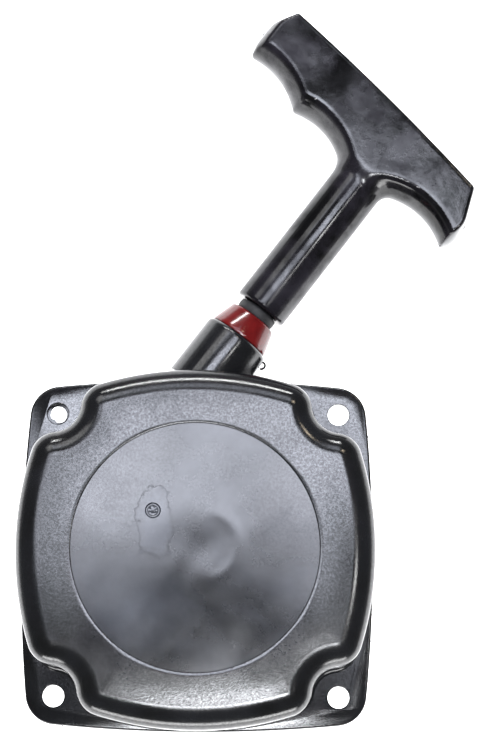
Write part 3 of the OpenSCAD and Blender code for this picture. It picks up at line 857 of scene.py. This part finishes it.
def tube_along(name, path, radius, sides, relief=None, closed=False):
    """A tube round a path of points; relief(ring, side angle) is added to the radius."""
    path = np.asarray(path, float)
    if closed:
        ahead = np.roll(path, -1, 0) - np.roll(path, 1, 0)
    else:
        ahead = np.gradient(path, axis=0)
    ahead /= np.linalg.norm(ahead, axis=1)[:, None]
    up = np.array([0, 0, 1.0]) - ahead * ahead[:, 2:3]
    up /= np.linalg.norm(up, axis=1)[:, None]
    side = np.cross(ahead, up)
    turn = np.arange(sides) * 2 * math.pi / sides
    loops = []
    for i, p in enumerate(path):
        r = radius + (relief(i, turn) if relief else 0)
        r = np.broadcast_to(r, turn.shape)
        loops.append(p + (r * np.cos(turn))[:, None] * up[i] - (r * np.sin(turn))[:, None] * side[i])
    return skin(name, loops, closed=closed, sharp=60)


def smoothstep(t):
    t = np.clip(t, 0, 1)
    return t * t * (3 - 2 * t)


def distance_along(path):
    """Distance from the first point to each point of a path."""
    return np.concatenate([[0], np.cumsum(np.linalg.norm(np.diff(path, axis=0), axis=1))])


def braid(length, turn, strands=4, pitch=11.0):
    """Height of a diamond braid's strands at a length along the rope and an angle round it."""
    left = np.abs(np.sin(strands * turn / 2 + math.pi * strands * length / pitch / 2))
    right = np.abs(np.sin(strands * turn / 2 - math.pi * strands * length / pitch / 2))
    return np.maximum(left, right)


def rope_piece():
    """The rope from the reel to the handle; its part in the neck is stored short, with its braid spaced for the
    length it has when pulled out.
    """
    start, end = ROPE_START_S, SHAFT_S + 6
    stretch_from, stretch_to = MOUTH_S - 8, SHAFT_S - 1
    fine = np.linspace(start, end, 6000)
    drawn = fine + PULL * smoothstep((fine - stretch_from) / (stretch_to - stretch_from))
    lengths = np.arange(drawn[0], drawn[-1], 0.9)
    stored = np.interp(lengths, drawn, fine)
    path = ROPE_FOOT + stored[:, None] * ROPE_AXIS
    thing = tube_along("rope_free", path, ROPE_R - 0.22, 24,
                       lambda i, turn: 0.2 * braid(lengths[i], turn))
    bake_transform(thing)
    return thing


def coil_piece():
    """Four turns of rope on the reel: two below, two above."""
    out_r, in_r = 31.6, 28.1
    low, high = ROPE_Z - 1.8, ROPE_Z + 1.8
    step = math.radians(1.6)
    path = []
    for r, z in ((in_r, low), (in_r, high), (out_r, high), (out_r, low)):
        for a in np.arange(0, 2 * math.pi - step, step):
            path.append([r * math.cos(a), r * math.sin(a), z])
    path = np.array(path)
    window = 9
    kernel = np.ones(window) / window
    padded = np.vstack([np.repeat(path[:1], window // 2, 0), path, np.repeat(path[-1:], window // 2, 0)])
    path = np.column_stack([np.convolve(padded[:, k], kernel, "valid") for k in range(3)])
    length = distance_along(path)
    return tube_along("rope_wound", path, ROPE_R - 0.3, 16, lambda i, turn: 0.18 * braid(length[i], turn))


def knot_piece(name, centre, radius, rope_r, turn):
    """An overhand knot pulled tight, as a trefoil of rope."""
    t = np.linspace(0, 2 * math.pi, 140, endpoint=False)
    x = np.sin(t) + 2 * np.sin(2 * t)
    y = np.cos(t) - 2 * np.cos(2 * t)
    path = np.column_stack([x, y, -1.6 * np.sin(3 * t)]) * ((radius - rope_r) / 3.0)
    length = distance_along(path)
    thing = tube_along(name, path, rope_r - 0.1, 14, lambda i, a: 0.1 * braid(length[i], a), closed=True)
    return place(thing, Matrix.Translation(Vector(np.array(centre) * MM)) @ turn)


# ---- Building everything ----

housing = housing_piece()
paint(housing, NYLON)
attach(housing, "cover")
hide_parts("housing")

handle = handle_piece()
paint(handle, HANDLE)
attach(handle, "handle")
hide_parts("handle")

ring = guide_ring_piece()
paint(ring, RED)
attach(ring, "cover")
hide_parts("rope_guide_ring")

bumper = bumper_piece()
paint(bumper, RUBBER)
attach(bumper, "handle")
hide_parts("handle_bumper")

rope = rope_piece()
paint(rope, ROPE)
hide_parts("rope_run")

coil = coil_piece()
paint(coil, ROPE)
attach(coil, "reel")
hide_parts("rope_coil")

flat = Matrix.Rotation(math.radians(20), 4, "Z")
handle_knot = knot_piece("handle_knot", ROPE_FOOT + ROPE_AXIS * KNOT_S, 3.9, ROPE_R, flat)
paint(handle_knot, ROPE)
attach(handle_knot, "handle")
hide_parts("rope_handle_knot")

knot_turn = math.radians(60)
knot_r, knot_z = 18.65, 14.95
reel_knot_at = np.array([knot_r * math.cos(knot_turn), knot_r * math.sin(knot_turn), knot_z])
reel_knot = knot_piece("reel_knot", reel_knot_at, 3.0, 1.45, flat)
paint(reel_knot, ROPE)
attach(reel_knot, "reel")
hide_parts("rope_reel_knot")

cad_nodes_by_material = (
    (INNER, ("spring_case", "reel")),
    (SPRING_STEEL, ("recoil_spring", "friction_spring")),
    (BRASS, ("post_insert", "reel_bush")),
    (RATCHET_STEEL, ("ratchet_1", "ratchet_2")),
    (STEEL, ("thrust_washer", "guide_sleeve", "screw_washer", "retaining_screw")),
    (STEEL, ("ratchet_pins", "ratchet_guide")),
)
for material, names in cad_nodes_by_material:
    for name in names:
        paint(frame["nodes"][name], material)


# ---- Floor, lights and camera ----

def floor():
    far, level = 12000, -0.3
    corners = [[x * far, y * far, level] for x, y in ((-1, -1), (1, -1), (1, 1), (-1, 1))]
    thing = mesh_object("floor", corners, [(0, 1, 2, 3)])
    n = Nodes("floor_white")
    shade = n.ramp(n.noise(6, 2), (0.3, 0.86), (0.7, 0.9))
    # The floor's glow is painted light: a pool of light round the object, stronger on the -Y side, which also
    # washes out the object's shadow.
    apart = n.add("SeparateXYZ")
    n.link(n.where, apart.inputs[0])
    squares = [n.math("POWER", apart.outputs[k], 2.0) for k in (0, 1)]
    distance = n.math("SQRT", n.math("ADD", *squares))
    pool = n.ramp(distance, (0.2, 1.0), (0.5, 0.2))
    near_side = n.ramp(n.math("ADD", apart.outputs[1], 0.5), (0.5, 1.0), (0.6, 0.55))
    glow = n.math("MULTIPLY", n.math("MULTIPLY", pool, near_side), 2.7)
    n.link(glow, n.shader.inputs["Emission Strength"])
    n.finish(shade, None, None, Roughness=0.9)
    n.shader.inputs["Emission Color"].default_value = (1, 1, 1, 1)
    paint(thing, n.material)


def soft_light(name, at, size, power, colour=(1, 1, 1)):
    """A rectangular soft light at a point in metres, turned to face the object's middle."""
    data = bpy.data.lights.new(name, "AREA")
    data.shape = "RECTANGLE"
    data.size, data.size_y = size
    data.energy = power
    data.color = colour
    thing = bpy.data.objects.new(name, data)
    bpy.context.scene.collection.objects.link(thing)
    thing.location = at
    middle = Vector((0.02, 0.04, 0.02))
    thing.rotation_euler = (middle - Vector(at)).to_track_quat("-Z", "Y").to_euler()


def camera():
    data = bpy.data.cameras.new("camera")
    data.sensor_width = 36
    focal_px, height_px = 2448, 750
    data.lens = focal_px / height_px * data.sensor_width
    data.clip_start, data.clip_end = 0.05, 20
    thing = bpy.data.objects.new("camera", data)
    bpy.context.scene.collection.objects.link(thing)
    turn = (Matrix.Rotation(math.radians(0.29), 4, "Z") @ Matrix.Rotation(math.radians(8.7), 4, "X")
            @ Matrix.Rotation(math.radians(0.16), 4, "Y"))
    thing.matrix_world = Matrix.Translation((0.0175, -0.0627, 0.8)) @ turn
    bpy.context.scene.camera = thing


def backdrop():
    """A soft grey studio: lighter at the horizon, darker overhead."""
    world = bpy.data.worlds.new("studio")
    world.use_nodes = True
    tree = world.node_tree
    where = tree.nodes.new("ShaderNodeTexCoord")
    height = tree.nodes.new("ShaderNodeSeparateXYZ")
    fade = tree.nodes.new("ShaderNodeValToRGB")
    horizon, overhead = (0.02, 0.5), (0.3, 0.07)
    for end, (position, grey) in zip(fade.color_ramp.elements, (horizon, overhead)):
        end.position = position
        end.color = (grey, grey, grey, 1)
    tree.links.new(where.outputs["Generated"], height.inputs[0])
    tree.links.new(height.outputs[2], fade.inputs["Fac"])
    tree.links.new(fade.outputs["Color"], tree.nodes["Background"].inputs["Color"])
    bpy.context.scene.world = world


floor()
camera()
backdrop()
COOL, WARM = (0.88, 0.92, 1.05), (1.0, 0.85, 0.65)
soft_light("overhead", (0.0, 0.27, 1.3), (0.4, 0.3), 4.0, COOL)
soft_light("middle_right", (0.16, 0.07, 1.3), (0.12, 0.12), 0.3, COOL)
soft_light("left_fill", (-0.34, 0.2, 1.3), (0.25, 0.42), 1.9, COOL)
soft_light("right_fill", (0.29, 0.26, 1.3), (0.18, 0.17), 1.1, COOL)
soft_light("low_right", (0.05, -0.24, 1.3), (0.34, 0.14), 6.6, (0.94, 0.96, 1.0))
soft_light("near_low", (0.0, -0.9, 0.15), (1.2, 0.25), 9.0)
soft_light("far_wide", (0.0, 0.86, 1.3), (0.8, 0.36), 2.7, COOL)
soft_light("far_strip", (0.0, 1.3, 0.8), (0.9, 0.09), 11.0)
soft_light("right_strip", (0.53, 0.02, 1.3), (0.09, 0.13), 0.9)
soft_light("warm_lamp", (0.59, 0.7, 1.3), (0.12, 0.12), 1.0, WARM)
soft_light("left_wall", (-0.62, 0.9, 1.3), (0.5, 0.5), 2.2)

bpy.context.scene.view_settings.view_transform = "Standard"
